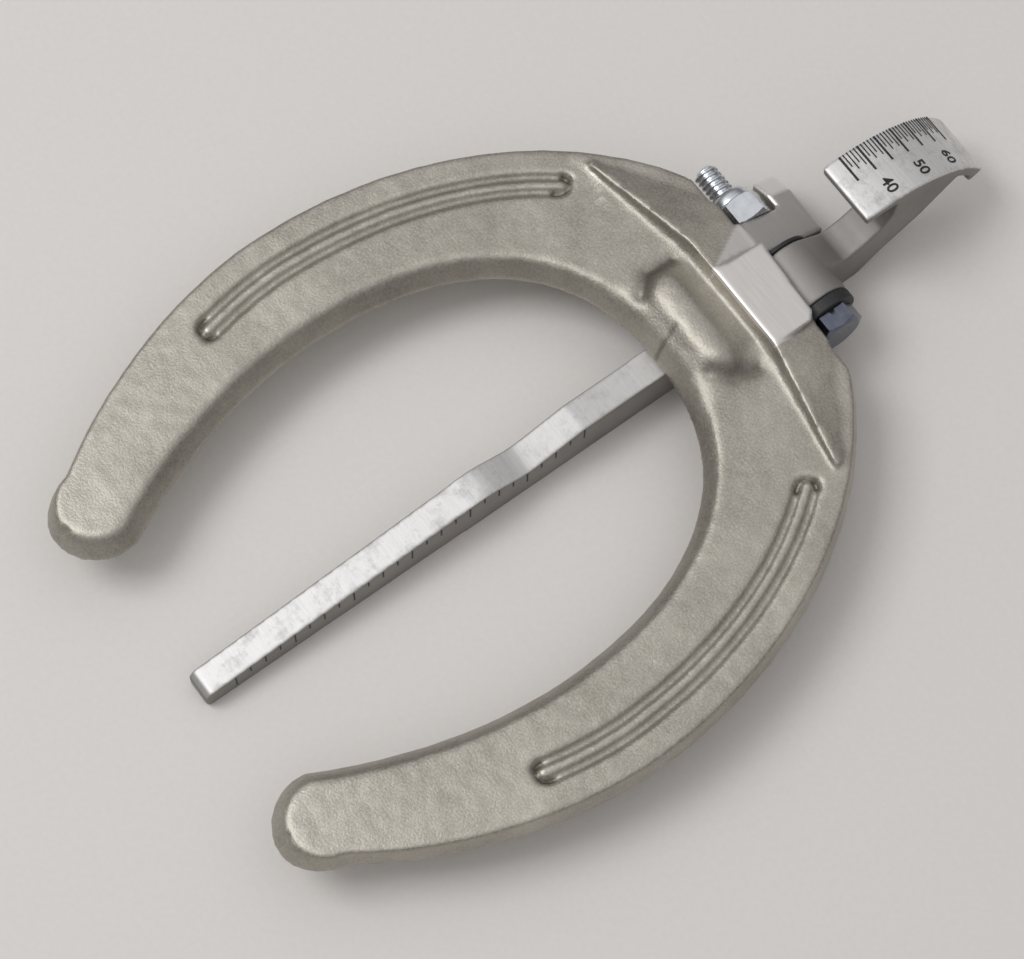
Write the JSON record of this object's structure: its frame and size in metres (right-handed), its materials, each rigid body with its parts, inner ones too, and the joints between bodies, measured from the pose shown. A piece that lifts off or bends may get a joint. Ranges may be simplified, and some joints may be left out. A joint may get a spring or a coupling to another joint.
{
  "type": "hoof gauge",
  "caption": "Hand gauge for reading a hoof's toe angle and length: a horseshoe-shaped sole plate with a hinged arm that carries a graduated bar and a curved angle scale",
  "frame": {"origin": "under the middle of the whole tool's box, at the level of the arm's underside, which is what it rests on", "axes": "+X along the hinge bolt from nut to head, +Y from the heels to the toe, +Z out of the plate's marked side"},
  "size_m": [0.1224, 0.1802, 0.0256],
  "materials": {
    "casting": "sand-cast, worn brighter on the edges",
    "arm_metal": "brushed",
    "zinc": "zinc plated",
    "washer_black": "black",
    "nylon": "pale nylon"
  },
  "bodies": {
    "plate": {"base_casting": "casting", "pivot_bolt": "zinc", "head_washer": "washer_black", "hub_washer": "washer_black", "lock_nut": "zinc", "nylon_insert": "nylon"},
    "arm": {"gauge_arm": "arm_metal"}
  },
  "joints": [
    {"name": "arm_pivot", "type": "hinge", "parent": "plate", "child": "arm", "pos_m": [0, 0.04706, 0.0114], "axis": [1, 0, 0], "range_deg": [0, 70]}
  ]
}
